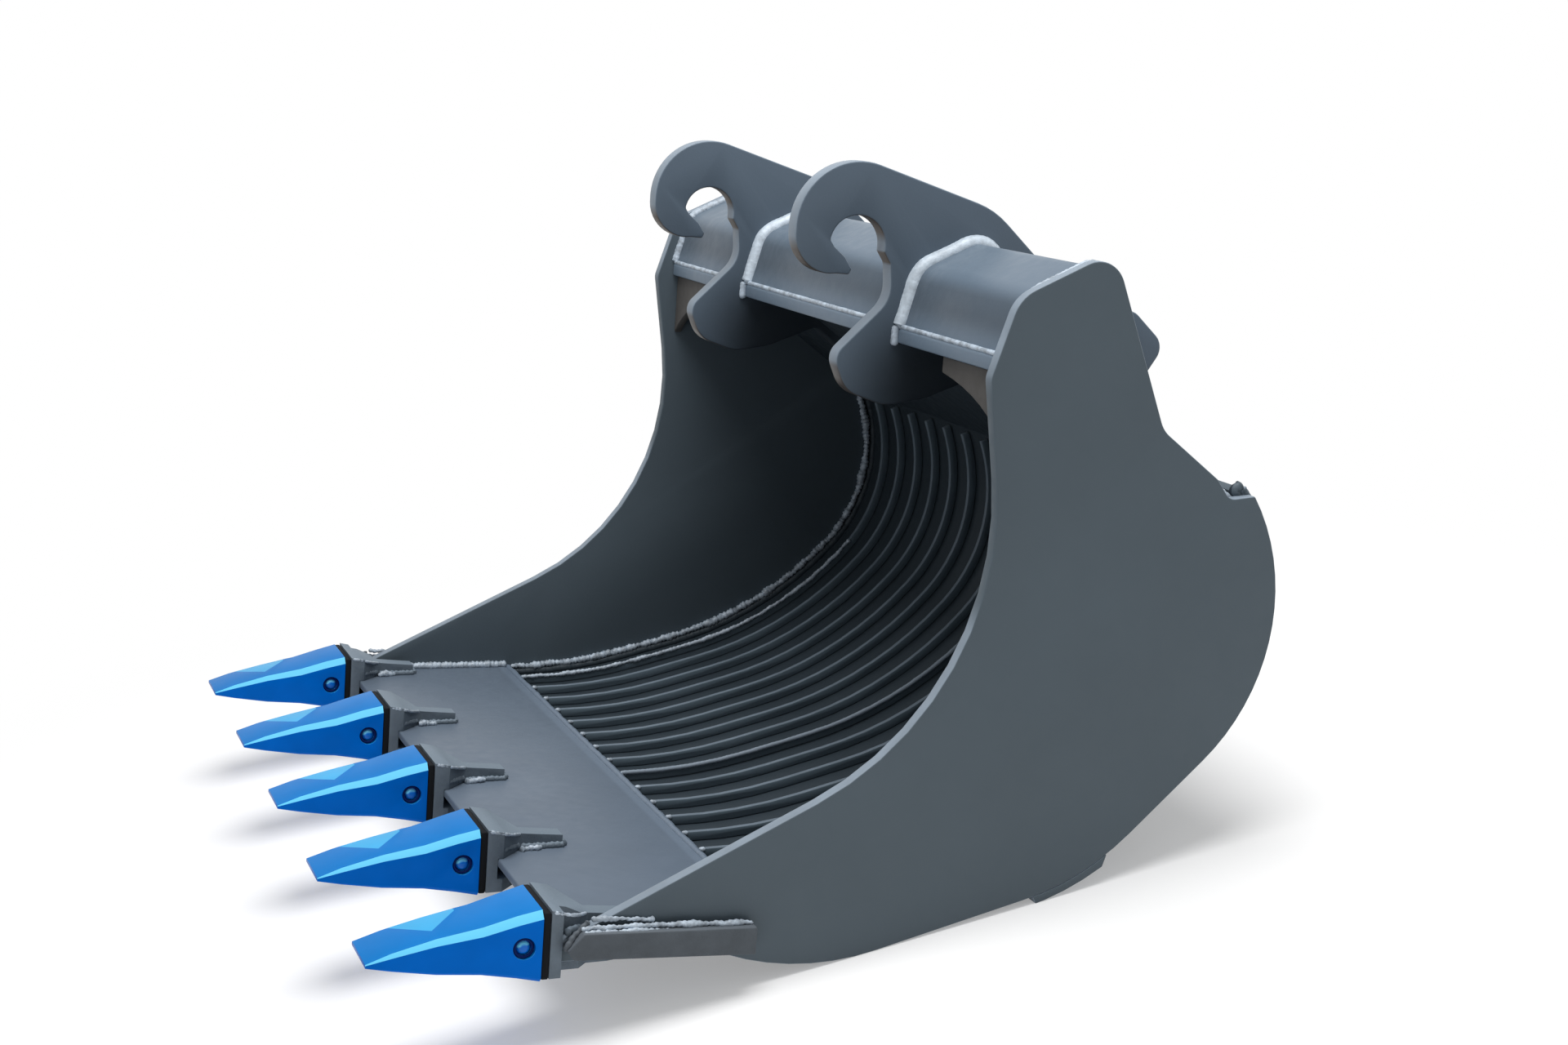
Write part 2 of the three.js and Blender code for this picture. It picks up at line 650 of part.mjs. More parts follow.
const standing = new THREE.Group();
standing.add(bucket);
standing.updateMatrixWorld(true);
const box = new THREE.Box3().setFromObject(bucket, true);
bucket.position.set(-(box.min.x + box.max.x) / 2, 0, -box.min.z);

export default standing;
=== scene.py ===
"""Excavator digging bucket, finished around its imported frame: painted plate with worked edges, weld runs,
cast adapters and blue teeth, on a pale floor."""
import math
import random

import bpy
from mathutils import Euler, Matrix, Vector, noise


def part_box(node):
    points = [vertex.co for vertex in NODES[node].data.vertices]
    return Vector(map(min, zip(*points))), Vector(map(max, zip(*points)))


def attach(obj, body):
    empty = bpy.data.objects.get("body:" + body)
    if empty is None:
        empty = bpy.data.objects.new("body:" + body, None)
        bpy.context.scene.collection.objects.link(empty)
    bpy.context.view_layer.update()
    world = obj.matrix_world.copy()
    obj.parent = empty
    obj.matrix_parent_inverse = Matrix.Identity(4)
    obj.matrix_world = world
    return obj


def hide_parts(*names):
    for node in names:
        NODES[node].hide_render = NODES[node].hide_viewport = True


bl_info = {
    "name": "Excavator Bucket",
    "version": (1, 0, 0),
    "blender": (4, 5, 0),
    "location": "View3D > Sidebar > Bucket",
    "description": "Builds the finish of an excavator bucket piece by piece",
    "category": "Object",
}

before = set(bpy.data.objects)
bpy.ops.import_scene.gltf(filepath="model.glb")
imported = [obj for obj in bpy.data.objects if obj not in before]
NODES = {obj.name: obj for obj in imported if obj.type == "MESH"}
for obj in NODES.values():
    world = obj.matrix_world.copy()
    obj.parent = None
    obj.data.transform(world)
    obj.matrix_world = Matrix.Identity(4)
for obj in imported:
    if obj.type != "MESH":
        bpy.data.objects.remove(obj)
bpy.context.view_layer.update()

# ---- the bucket's own side plane ----
# Profiles are given as (forward, across, up) in millimetres from the centre of the hooks with the lip level,
# as in the CAD. The bucket stands tilted back from that, on its heel.
BACK_TILT = math.radians(12.4055)
PIN_AT = (447.0, -726.0)  # a tooth pin's centre, forward and up
MIDDLE_PIN = "tooth_pin_3"


def middle(node):
    """The middle of a node's box."""
    low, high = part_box(node)
    return (Vector(low) + Vector(high)) / 2


def turned(forward, up):
    """A direction in the side plane, as x and z of the row's frame."""
    cos, sin = math.cos(BACK_TILT), math.sin(BACK_TILT)
    return forward * cos - up * sin, forward * sin + up * cos


def at(forward, across, up):
    """A point of the side plane and across it, in metres of the row's frame."""
    pin = middle(MIDDLE_PIN)
    x, z = turned(forward - PIN_AT[0], up - PIN_AT[1])
    return Vector((pin.x + x / 1000, across / 1000, pin.z + z / 1000))


def way(forward, across, up):
    """A direction given in the side plane and across it, in the row's frame."""
    x, z = turned(forward, up)
    return Vector((x, across, z))


def linear(hex_colour):
    """An sRGB hex colour as linear red, green and blue, with an alpha of 1."""
    channels = [int(hex_colour[i : i + 2], 16) / 255 for i in (0, 2, 4)]
    return tuple(c / 12.92 if c <= 0.04045 else ((c + 0.055) / 1.055) ** 2.4 for c in channels) + (1.0,)


# ---- settings ----
def colour(name, description, hex_colour):
    return bpy.props.FloatVectorProperty(
        name=name, description=description, subtype="COLOR", size=4, min=0, max=1, default=linear(hex_colour)
    )


def length(name, description, millimetres):
    return bpy.props.FloatProperty(
        name=name, description=description, unit="LENGTH", min=0, default=millimetres / 1000, precision=4
    )


class BUCKET_PG_finish(bpy.types.PropertyGroup):
    """Colours of the bucket's paints, enamel and rubber, and of the backdrop."""

    side: colour("Side plates", "Paint on the side plates", "4E5961")
    # Plate edges are pale as thin paint and as a painted highlight.
    plate_edge: colour("Plate edges", "Thin paint and a painted highlight on the side plates' cut edges", "7F8B97")
    hanger: colour("Hangers", "Paint on the hangers", "55626F")
    # The inside paint is darker than the side plates as painted shade; outer faces take the side paint.
    inside: colour("Inside", "Paint on the shell and the beam floors, dark as painted shade", "2B343B")
    # Rib flanks are lighter than the shell as painted light.
    rib: colour("Rib sides", "Paint on the flanks of the ribs, lighter as painted light", "57656F")
    # Rib tops are pale as wear and as a painted highlight.
    rib_top: colour("Rib tops", "Rib tops, pale as wear and painted highlight", "66727D")
    beam: colour("Beam", "Paint on the beam covers, the flanges and the lock plate", "47525D")
    lip: colour("Lip", "Paint on the cutting lip", "5D6977")
    cast: colour("Adapters", "Paint on the cast adapters", "5F6A74")
    bar: colour("Side bars", "Paint on the side wear bars", "4C5258")
    # Weld runs are paler than the plate as a painted highlight.
    weld: colour("Welds", "Paint on the weld runs, paler than on the plate as a painted highlight", "A3AFBB")
    # This main run is paler still, as a painted highlight.
    main_weld: colour("Main weld", "Paint on the wide weld runs between the covers and the hangers, pale as a painted highlight", "BCC8D3")
    gusset: colour("Gussets", "Paint and dirt on the corner gussets", "4E4C4A")
    # Hanger edges are pale as thin paint and as a painted highlight.
    hanger_edge: colour("Hanger edges", "Paint and a painted highlight on the hangers' cut edges", "7C8894")
    # Cut edges that face down are brown as scale and as painted shade.
    cut_edge: colour("Flame-cut edges", "Brown on the undersides of the hangers' cut edges, as scale and painted shade", "4A423B")
    tooth: colour("Teeth, flanks", "Gloss paint on the teeth's flanks and their pins", "0062C0")
    # Tooth tops are brighter than the flanks as painted light.
    tooth_top: colour("Teeth, tops", "Gloss paint on the teeth's upper faces, lighter as painted light", "0A74C0")
    # The flats on the teeth are pale as a painted reflection.
    tooth_flat_glint: colour("Teeth, flats", "Gloss paint on the flats, pale as a painted reflection", "3FA8DE")
    # The bevels are pale as a painted highlight.
    tooth_bevel: colour("Teeth, bevels", "Gloss paint on the teeth's bevels, pale as a painted highlight", "6ACCF4")
    # The pin rings are dark rubber, and stand in for the painted shade of the pin recesses.
    pin_ring: colour("Pin rings", "Rubber lock ring round each pin end, dark also as the recess's painted shade", "051C52")
    # The tooth seals are dark rubber, and stand in for the painted shade of the gap behind each tooth.
    seal: colour("Seals", "Rubber seal between a tooth and its adapter, dark also as the gap's painted shade, and the pin retainers", "15171A")
    backdrop: colour("Backdrop", "Floor and backdrop", "FFFFFF")


class BUCKET_PG_sizes(bpy.types.PropertyGroup):
    """Sizes of the rounded edges and the weld runs."""

    plate_edge: length("Plate edge", "Rounding along a plate's edges", 2.0)
    hanger_rim: length("Hanger edge", "Rounding along the hangers' edges", 2.4)
    tooth_edge: length("Tooth edge", "Rounding along a tooth's bevels", 4.5)
    main_weld: length("Main weld", "Radius of the runs between the beam covers and the hangers", 11.0)
    seam_weld: length("Seam weld", "Radius of the runs along the shell, the lip and the back plate", 5.0)
    small_weld: length("Small weld", "Radius of the runs on the ribs, the side bars and the cover feet", 3.2)
    ripple: length("Ripple", "Distance from one weld ripple to the next", 6.0)


def finish():
    return bpy.context.scene.bucket_finish


def sizes():
    return bpy.context.scene.bucket_sizes


# ---- making pieces ----
SAME_POINT = 2e-5  # metres within which two vertices of a node are one
SAME_PLANE = 2e-4  # metres within which a face lies on a plane
FLAT_ENOUGH = math.radians(0.6)  # between two triangles of one flat face
SHARP = math.radians(28)  # edges turned more than this are rounded


def deselect():
    if bpy.context.object and bpy.context.object.mode != "OBJECT":
        bpy.ops.object.mode_set(mode="OBJECT")
    bpy.ops.object.select_all(action="DESELECT")


def pick(obj):
    deselect()
    obj.select_set(True)
    bpy.context.view_layer.objects.active = obj


def apply_modifier(obj, kind, name, **settings):
    modifier = obj.modifiers.new(name, kind)
    for key, value in settings.items():
        setattr(modifier, key, value)
    pick(obj)
    bpy.ops.object.modifier_apply(modifier=modifier.name)


def dress(obj, look, body, slot, *nodes, smooth=30):
    """Gives a finished piece its look, its body and the nodes it stands for."""
    pick(obj)
    bpy.ops.object.shade_smooth_by_angle(angle=math.radians(smooth))
    obj.data.materials.clear()
    obj.data.materials.append(material(look))
    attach(obj, body)
    if nodes:
        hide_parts(*nodes)
    deselect()
    return obj


def merged_copy(node, name):
    """A copy of a node's mesh as one closed surface, its flat faces whole."""
    obj = bpy.data.objects.new(name, NODES[node].data.copy())
    bpy.context.scene.collection.objects.link(obj)
    pick(obj)
    bpy.ops.object.mode_set(mode="EDIT")
    bpy.ops.mesh.select_all(action="SELECT")
    bpy.ops.mesh.remove_doubles(threshold=SAME_POINT)
    bpy.ops.mesh.dissolve_limited(angle_limit=FLAT_ENOUGH)
    bpy.ops.object.mode_set(mode="OBJECT")
    return obj


def round_edges(obj, width, segments=2, sharp=SHARP):
    apply_modifier(
        obj, "BEVEL", "rounded edges", width=width, segments=segments, limit_method="ANGLE", angle_limit=sharp
    )


def plate(node, look, slot, width, segments=2):
    """A plate of the CAD with its edges rounded."""
    obj = merged_copy(node, node + "_finished")
    round_edges(obj, width, segments)
    return dress(obj, look, "bucket", slot, node)


# ---- weld runs ----
def outline(node, left):
    """The outline of a node's left or right end face, as points of the row's frame in order."""
    copy = merged_copy(node, "outline")
    low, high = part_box(node)
    place = high.y if left else low.y
    faces = [p for p in copy.data.polygons if abs(p.normal.y) > 0.9 and abs(p.center.y - place) < SAME_PLANE]
    if not faces:
        raise RuntimeError("no end face on " + node)
    face = max(faces, key=lambda p: p.area)
    points = [copy.data.vertices[i].co.copy() for i in face.vertices]
    bpy.data.objects.remove(copy)
    return points


def stretch(points, start, end, via):
    """The part of a closed outline from one place to another by way of a third, each given as forward and up."""

    def nearest(place):
        target = at(place[0], 0, place[1])
        return min(range(len(points)), key=lambda i: (points[i].x - target.x) ** 2 + (points[i].z - target.z) ** 2)

    a, b, c = nearest(start), nearest(end), nearest(via)
    count = len(points)
    if (c - a) % count <= (b - a) % count:
        return [points[(a + i) % count] for i in range((b - a) % count + 1)]
    return [points[(a - i) % count] for i in range((a - b) % count + 1)]


def resampled(points, step):
    """Points at even steps along a path."""
    lengths = [0.0]
    for a, b in zip(points, points[1:]):
        lengths.append(lengths[-1] + (b - a).length)
    count = max(2, round(lengths[-1] / step))
    made, k = [], 0
    for i in range(count + 1):
        target = lengths[-1] * i / count
        while k < len(lengths) - 2 and lengths[k + 1] < target:
            k += 1
        span = lengths[k + 1] - lengths[k] or 1
        made.append(points[k].lerp(points[k + 1], min(1, (target - lengths[k]) / span)))
    return made


WELD_STEP = 0.0022  # metres from one ring of a weld run's mesh to the next
WANDER_SCALE = 90  # of the noise that moves a run off its path
LUMP_SCALE = 45  # of the noise that swells it
WANDER = 0.7  # of the radius, for a run that is all lumps
END_SIZE = 0.55  # of the radius, where a run starts and stops


def bead(name, runs, radius, look, slot, seed, rough=0.16, lumps=0.18):
    """Weld runs along paths, rippled where each drop froze, as one piece. `rough` is how much a drop tapers
    and `lumps` how unsteady the hand was, both as shares of the radius."""
    deselect()
    bpy.ops.curve.primitive_bezier_curve_add()
    obj = bpy.context.object
    obj.name = name
    curve = obj.data
    curve.splines.clear()
    curve.dimensions = "3D"
    curve.bevel_depth = 1.0
    curve.bevel_resolution = 2
    curve.use_fill_caps = True
    random.seed(seed)
    noise.seed_set(seed)
    for run in runs:
        points = resampled(run, WELD_STEP)
        spline = curve.splines.new("POLY")
        spline.points.add(len(points) - 1)
        phase = random.random()
        for i, point in enumerate(points):
            travelled = i * WELD_STEP / sizes().ripple + phase
            drop = 1 - (travelled % 1.0)
            wander = noise.noise_vector(point * WANDER_SCALE + Vector((seed, 0, 0)))
            grow = 1 + rough * (drop - 0.5) + lumps * noise.noise(point * LUMP_SCALE + Vector((0, seed, 0)))
            if i in (0, len(points) - 1):
                grow *= END_SIZE
            spline.points[i].co = (*(point + wander * radius * lumps * WANDER), 1)
            spline.points[i].radius = radius * grow
    pick(obj)
    bpy.ops.object.convert(target="MESH")
    obj = bpy.context.object
    obj.name = name
    bpy.ops.object.mode_set(mode="EDIT")
    bpy.ops.mesh.select_all(action="SELECT")
    bpy.ops.mesh.remove_doubles(threshold=1e-6)
    bpy.ops.mesh.normals_make_consistent(inside=False)
    bpy.ops.object.mode_set(mode="OBJECT")
    return dress(obj, look, "bucket", slot, smooth=60)


# ---- materials ----
def add(tree, kind, inputs=None, **settings):
    """Adds a node with its settings. An input is given a value or, from another node's socket, a link."""
    node = tree.nodes.new(kind)
    for key, value in settings.items():
        setattr(node, key, value)
    for key, value in (inputs or {}).items():
        if isinstance(value, bpy.types.NodeSocket):
            tree.links.new(value, node.inputs[key])
        else:
            node.inputs[key].default_value = value
    return node


def new_material(name):
    """An empty material, with its tree, its output node and the socket for places on the bucket in metres."""
    paint = bpy.data.materials.new(name)
    paint.use_nodes = True
    tree = paint.node_tree
    tree.nodes.clear()
    out = add(tree, "ShaderNodeOutputMaterial")
    place = add(tree, "ShaderNodeTexCoord").outputs["Object"]
    return paint, tree, out, place


def shade(tone, factor):
    return tuple(c * factor for c in tone[:3]) + (1,)


def facing_share(tree, axis, low, high, size_only=False):
    """0 to 1 as a face's normal turns towards an axis of the bucket, or either way along it."""
    facing = add(tree, "ShaderNodeTexCoord").outputs["Normal"]
    parts = add(tree, "ShaderNodeSeparateXYZ", {0: facing})
    amount = parts.outputs[axis]
    if size_only:
        amount = add(tree, "ShaderNodeMath", {0: amount}, operation="ABSOLUTE").outputs["Value"]
    share = add(tree, "ShaderNodeMapRange", {"Value": amount, "From Min": low, "From Max": high})
    return share.outputs["Result"]


def along_share(tree, place, start, end):
    """0 to 1 from one point of the bucket to another, the same across the line between them."""
    line = end - start
    line /= line.length_squared
    offset = add(tree, "ShaderNodeVectorMath", {0: place, 1: start}, operation="SUBTRACT")
    reach = add(tree, "ShaderNodeVectorMath", {0: offset.outputs["Vector"], 1: line}, operation="DOT_PRODUCT")
    share = add(tree, "ShaderNodeMapRange", {"Value": reach.outputs["Value"]}, interpolation_type="SMOOTHSTEP")
    return share.outputs["Result"]


def near_share(tree, place, centre, inner, outer):
    """1 within a radius of a line across the bucket, falling to 0 at a wider radius."""
    offset = add(tree, "ShaderNodeVectorMath", {0: place, 1: centre}, operation="SUBTRACT")
    flat = add(tree, "ShaderNodeVectorMath", {0: offset.outputs["Vector"], 1: (1, 0, 1)}, operation="MULTIPLY")
    reach = add(tree, "ShaderNodeVectorMath", {0: flat.outputs["Vector"]}, operation="LENGTH")
    share = add(
        tree,
        "ShaderNodeMapRange",
        {"Value": reach.outputs["Value"], "From Min": outer, "From Max": inner},
        interpolation_type="SMOOTHSTEP",
    )
    return share.outputs["Result"]


def outward_share(tree, place, centre):
    """0 on faces that look towards a line across the bucket, 1 on those that look away from it."""
    facing = add(tree, "ShaderNodeTexCoord").outputs["Normal"]
    offset = add(tree, "ShaderNodeVectorMath", {0: place, 1: centre}, operation="SUBTRACT")
    away = add(tree, "ShaderNodeVectorMath", {0: offset.outputs["Vector"], 1: facing}, operation="DOT_PRODUCT")
    share = add(tree, "ShaderNodeMapRange", {"Value": away.outputs["Value"], "From Min": -0.01, "From Max": 0.01})
    return share.outputs["Result"]


BUCKET_MIDDLE = (-120, 0, -380)  # of the room inside it: the shell's outer faces look away from here


def sprayed_paint(
    name,
    base,
    roughness,
    mottle=0.08,
    edge=None,
    under=None,
    dull_edge=None,
    painted_top_light=None,
    turning=None,
    painted_shade_at=None,
    outside=None,
):
    """Two-pack paint sprayed on steel plate: an even colour that clouds a little over a hand's width, with
    the fine orange peel of the spray breaking up its gloss. Cut edges take the edge tone, thin paint with a
    painted highlight, and where they face down the brown tone, scale with painted shade, except near `dull_edge`,
    where they keep the plate's tone. The faces that look up can be lightened as painted light. `turning` is
    where the tone starts and ends to change and by how much, a place can be darkened around as painted shade,
    and `outside` is the tone of the faces that look out of the bucket."""
    paint, tree, out, place = new_material(name)
    cloud = add(tree, "ShaderNodeTexNoise", {"Vector": place, "Scale": 7, "Detail": 4, "Roughness": 0.6})
    low, high = shade(base, 1 - mottle), shade(base, 1 + mottle)
    tone = add(tree, "ShaderNodeMix", {0: cloud.outputs["Fac"], 6: low, 7: high}, data_type="RGBA").outputs[2]
    # Painted light: the faces that look up are lightened.
    if painted_top_light:
        share = facing_share(tree, "Z", 0.35, 0.8)
        tone = add(tree, "ShaderNodeMix", {0: share, 6: tone, 7: shade(base, painted_top_light)}, data_type="RGBA").outputs[2]
    # Cut edges: pale as thin paint and a painted highlight; where they face down, brown as scale and painted shade.
    if edge:
        thin = add(tree, "ShaderNodeTexNoise", {"Vector": place, "Scale": 30, "Detail": 3, "Roughness": 0.6})
        low, high = shade(edge, 0.75), shade(edge, 1.25)
        edge_tone = add(tree, "ShaderNodeMix", {0: thin.outputs["Fac"], 6: low, 7: high}, data_type="RGBA").outputs[2]
        if under:
            share = facing_share(tree, "Z", -0.25, 0.1)
            edge_tone = add(tree, "ShaderNodeMix", {0: share, 6: under, 7: edge_tone}, data_type="RGBA").outputs[2]
        if dull_edge:
            share = near_share(tree, place, at(*dull_edge), 0.115, 0.17)
            edge_tone = add(tree, "ShaderNodeMix", {0: share, 6: edge_tone, 7: shade(base, 1.05)}, data_type="RGBA").outputs[2]
        share = facing_share(tree, "Y", 0.55, 0.9, size_only=True)
        tone = add(tree, "ShaderNodeMix", {0: share, 6: edge_tone, 7: tone}, data_type="RGBA").outputs[2]
    if turning:
        start, end, factor = turning
        share = along_share(tree, place, at(*start), at(*end))
        tone = add(tree, "ShaderNodeMix", {0: share, 6: tone, 7: shade(base, factor)}, data_type="RGBA").outputs[2]
    # Painted shade: darker around a place under an overhang.
    if painted_shade_at:
        share = near_share(tree, place, at(*painted_shade_at), 0.05, 0.16)
        tone = add(tree, "ShaderNodeMix", {0: share, 6: tone, 7: shade(base, 0.22)}, data_type="RGBA").outputs[2]
    # The outer faces take the plate's tone; the darker tone inside is painted shade.
    if outside:
        share = outward_share(tree, place, at(*BUCKET_MIDDLE))
        tone = add(tree, "ShaderNodeMix", {0: share, 6: tone, 7: outside}, data_type="RGBA").outputs[2]
    fine = add(tree, "ShaderNodeTexNoise", {"Vector": place, "Scale": 60, "Detail": 3, "Roughness": 0.5})
    gloss = add(
        tree,
        "ShaderNodeMapRange",
        {
            "Value": fine.outputs["Fac"],
            "From Min": 0.3,
            "From Max": 0.7,
            "To Min": roughness - 0.06,
            "To Max": roughness + 0.06,
        },
    )
    skin = add(tree, "ShaderNodeTexNoise", {"Vector": place, "Scale": 320, "Detail": 2, "Roughness": 0.5})
    bump = add(tree, "ShaderNodeBump", {"Height": skin.outputs["Fac"], "Strength": 0.25, "Distance": 0.0005})
    shader = add(
        tree,
        "ShaderNodeBsdfPrincipled",
        {
            "Base Color": tone,
            "Roughness": gloss.outputs["Result"],
            "Normal": bump.outputs["Normal"],
            "Specular IOR Level": 0.22,
        },
    )
    tree.links.new(shader.outputs["BSDF"], out.inputs["Surface"])
    return paint


def cast_paint(name, base):
    """Grey paint over sand-cast or rough-rolled steel: pits of 2 to 4 mm show through it, and it clouds over
    a thumb's width. The faces that look up are lighter, as painted light from above."""
    paint, tree, out, place = new_material(name)
    grit = add(tree, "ShaderNodeTexNoise", {"Vector": place, "Scale": 260, "Detail": 4, "Roughness": 0.65})
    lumps = add(tree, "ShaderNodeTexNoise", {"Vector": place, "Scale": 45, "Detail": 3, "Roughness": 0.55})
    low, high = shade(base, 0.72), shade(base, 1.28)
    tone = add(tree, "ShaderNodeMix", {0: lumps.outputs["Fac"], 6: low, 7: high}, data_type="RGBA").outputs[2]
    # Painted light: the faces that look up are lighter.
    share = facing_share(tree, "Z", 0.5, 0.9)
    tone = add(tree, "ShaderNodeMix", {0: share, 6: tone, 7: shade(base, 1.5)}, data_type="RGBA").outputs[2]
    height = add(tree, "ShaderNodeMath", {0: grit.outputs["Fac"], 1: lumps.outputs["Fac"]}, operation="ADD")
    bump = add(tree, "ShaderNodeBump", {"Height": height.outputs["Value"], "Strength": 0.55, "Distance": 0.0012})
    shader = add(
        tree,
        "ShaderNodeBsdfPrincipled",
        {"Base Color": tone, "Roughness": 0.62, "Normal": bump.outputs["Normal"], "Specular IOR Level": 0.22},
    )
    tree.links.new(shader.outputs["BSDF"], out.inputs["Surface"])
    return paint


def weld_paint(name, base, low=0.6, high=1.25):
    """Paint over a weld run, in a tone paler than the plate's as a painted highlight: pale and grey in random
    patches of about 10 mm, with the fine grain of spatter in it."""
    paint, tree, out, place = new_material(name)
    grain = add(tree, "ShaderNodeTexNoise", {"Vector": place, "Scale": 420, "Detail": 3, "Roughness": 0.6})
    patch = add(tree, "ShaderNodeTexNoise", {"Vector": place, "Scale": 85, "Detail": 3, "Roughness": 0.65})
    spread = add(tree, "ShaderNodeMapRange", {"Value": patch.outputs["Fac"], "From Min": 0.36, "From Max": 0.62})
    share = spread.outputs["Result"]
    low, high = shade(base, low), shade(base, high)
    tone = add(tree, "ShaderNodeMix", {0: share, 6: low, 7: high}, data_type="RGBA").outputs[2]
    bump = add(tree, "ShaderNodeBump", {"Height": grain.outputs["Fac"], "Strength": 0.5, "Distance": 0.001})
    shader = add(
        tree,
        "ShaderNodeBsdfPrincipled",
        {"Base Color": tone, "Roughness": 0.38, "Normal": bump.outputs["Normal"]},
    )
    tree.links.new(shader.outputs["BSDF"], out.inputs["Surface"])
    return paint


def gloss_enamel(name, side, top, bevel, gloss=0.03):
    """Thick gloss enamel: deep on the flanks, brighter on what looks up as painted light, and palest on the
    rounded bevels between them as a painted highlight. It is smooth, with a faint waviness of an inch or so."""
    paint, tree, out, place = new_material(name)
    cloud = add(tree, "ShaderNodeTexNoise", {"Vector": place, "Scale": 24, "Detail": 2, "Roughness": 0.5})
    cloudy = cloud.outputs["Fac"]
    low, high = shade(side, 0.85), shade(side, 1.15)
    deep = add(tree, "ShaderNodeMix", {0: cloudy, 6: low, 7: high}, data_type="RGBA").outputs[2]
    low, high = shade(top, 0.9), shade(top, 1.1)
    bright = add(tree, "ShaderNodeMix", {0: cloudy, 6: low, 7: high}, data_type="RGBA").outputs[2]
    # Painted light: what looks up takes the brighter top tone.
    up = facing_share(tree, "Z", 0.3, 0.75)
    tone = add(tree, "ShaderNodeMix", {0: up, 6: deep, 7: bright}, data_type="RGBA").outputs[2]
    # Painted highlight on the bevels: a bevel looks partly sideways, but not straight to the side, and a little up.
    partly = facing_share(tree, "Y", 0.2, 0.45, size_only=True)
    straight = facing_share(tree, "Y", 0.8, 0.97, size_only=True)
    slanting = add(tree, "ShaderNodeMath", {0: partly, 1: straight}, operation="SUBTRACT").outputs["Value"]
    looks_up = facing_share(tree, "Z", 0.15, 0.35)
    bevels = add(tree, "ShaderNodeMath", {0: slanting, 1: looks_up}, operation="MULTIPLY").outputs["Value"]
    tone = add(tree, "ShaderNodeMix", {0: bevels, 6: tone, 7: bevel}, data_type="RGBA").outputs[2]
    wave = add(tree, "ShaderNodeTexNoise", {"Vector": place, "Scale": 35, "Detail": 2, "Roughness": 0.4})
    bump = add(tree, "ShaderNodeBump", {"Height": wave.outputs["Fac"], "Strength": 0.12, "Distance": 0.002})
    shader = add(
        tree,
        "ShaderNodeBsdfPrincipled",
        {"Base Color": tone, "Roughness": 0.22, "Normal": bump.outputs["Normal"], "Specular IOR Level": gloss},
    )
    tree.links.new(shader.outputs["BSDF"], out.inputs["Surface"])
    return paint


def rubber_seal(name, base):
    """Moulded rubber: dark, with the dull even grain of its mould."""
    paint, tree, out, place = new_material(name)
    grain = add(tree, "ShaderNodeTexNoise", {"Vector": place, "Scale": 500, "Detail": 2, "Roughness": 0.5})
    bump = add(tree, "ShaderNodeBump", {"Height": grain.outputs["Fac"], "Strength": 0.2, "Distance": 0.0004})
    shader = add(
        tree,
        "ShaderNodeBsdfPrincipled",
        {"Base Color": base, "Roughness": 0.75, "Normal": bump.outputs["Normal"], "Specular IOR Level": 0.1},
    )
    tree.links.new(shader.outputs["BSDF"], out.inputs["Surface"])
    return paint


# Places are given as forward, across and up, as for at().
LOOKS = {
    "side": lambda f: sprayed_paint(
        "side plate paint", f.side, 0.5, edge=f.plate_edge, dull_edge=(-88, 0, -245)  # the opening's upper half, where the edges take no painted highlight
    ),
    # Dark as painted shade of the bucket's inside, darker still up the back; outer faces take the side paint.
    "inside": lambda f: sprayed_paint(
        "inside paint, dark as painted shade",
        f.inside,
        0.55,
        turning=((-300, 0, -560), (-350, 0, -280), 0.95),  # darker up the shell's back, as painted shade
        outside=f.side,
    ),
    # Flanks lighter than the shell as painted light; tops pale as wear and a painted highlight.
    "rib": lambda f: sprayed_paint("rib paint, rubbed on top", f.rib, 0.5, edge=f.rib_top),
    # A pale line on the middle rib's run, as a painted highlight.
    "rib_line": lambda f: sprayed_paint("rib line paint, painted highlight", f.plate_edge, 0.5),
    "beam": lambda f: sprayed_paint(
        "beam paint",
        f.beam,
        0.42,
        # painted light on the faces that look up
        painted_top_light=1.75,
        turning=((-44, 0, -66), (-54, 0, -100), 2.2),  # painted light: paler at the covers' feet and on the flanges
    ),
    "hanger": lambda f: sprayed_paint(
        "hanger paint",
        f.hanger,
        0.45,
        # edges pale as thin paint and a painted highlight, brown below as scale and painted shade
        edge=f.hanger_edge,
        under=f.cut_edge,
        painted_shade_at=(-130, 0, -165),  # painted shade behind the toes, under the beam
    ),
    "lip": lambda f: sprayed_paint(
        "lip paint",
        f.lip,
        0.45,
        mottle=0.14,
        turning=((184, 0, -720), (178, 0, -720), 1.22),  # a paler strip along the rear edge
    ),
    "gusset": lambda f: sprayed_paint("gusset paint", f.gusset, 0.6, mottle=0.2),
    "cast": lambda f: cast_paint("adapter casting paint", f.cast),
    "bar": lambda f: cast_paint("side bar paint", f.bar),
    # Weld runs paler than the plate, as a painted highlight.
    "weld": lambda f: weld_paint("weld run paint", f.weld),
    "main_weld": lambda f: weld_paint("main weld paint", f.main_weld, low=0.84, high=1.12),
    # Painted light on the tops and a painted highlight on the bevels.
    "tooth": lambda f: gloss_enamel("tooth enamel", f.tooth, f.tooth_top, f.tooth_bevel),
    # The flat on each tooth, pale as a painted reflection.
    "flat_glint": lambda f: gloss_enamel("tooth enamel, flat with painted reflection", f.tooth_top, f.tooth_flat_glint, f.tooth_bevel),
    "pin": lambda f: gloss_enamel("pin enamel", f.tooth, f.tooth_top, f.tooth_bevel, gloss=0.25),
    # Dark rubber rings, also the painted shade of the pin recesses.
    "pin_ring": lambda f: rubber_seal("pin lock ring rubber", f.pin_ring),
    # Dark rubber, also the painted shade in the gap behind each tooth; and the pin retainers.
    "seal": lambda f: rubber_seal("tooth seal rubber", f.seal),
}
MADE = {}


